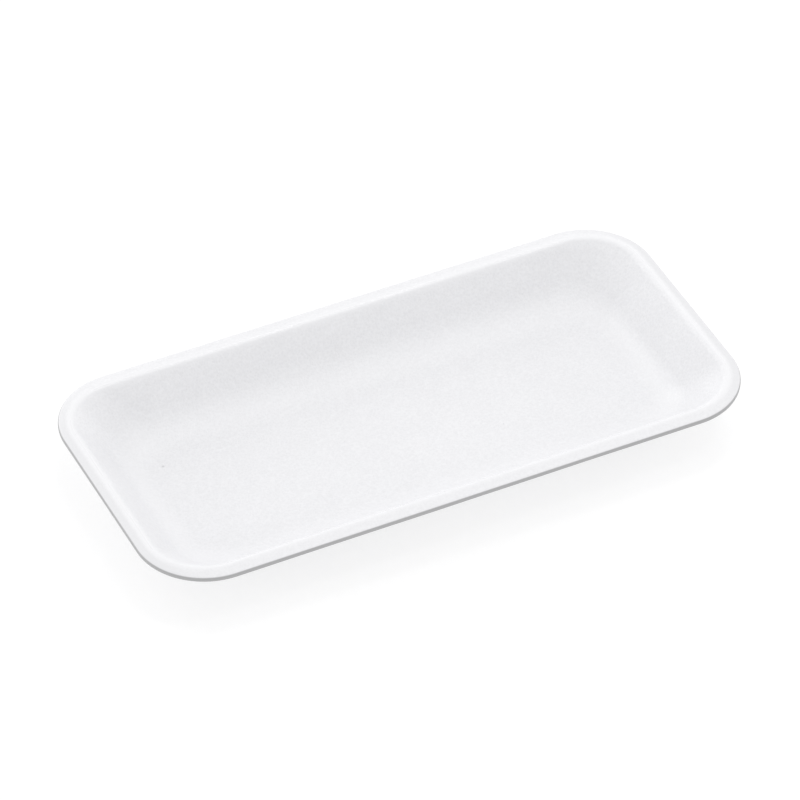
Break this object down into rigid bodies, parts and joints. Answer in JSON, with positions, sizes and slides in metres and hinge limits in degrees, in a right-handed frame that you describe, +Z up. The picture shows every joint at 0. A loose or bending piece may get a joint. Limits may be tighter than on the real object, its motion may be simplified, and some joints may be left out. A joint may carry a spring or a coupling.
{
  "type": "food tray",
  "caption": "Shallow rounded-rectangle food tray pressed from one sheet of white foam, with curved sloping walls and a narrow turned-over lip.",
  "frame": {"origin": "middle of the flat face that the tray rests on", "axes": "+Z up out of the tray, +X along its length, +Y across it"},
  "size_m": [0.27, 0.133, 0.025],
  "materials": {
    "foam": "satin white extruded polystyrene foam with a fine cell texture"
  },
  "bodies": {
    "root": {"tray": "foam"}
  },
  "joints": []
}
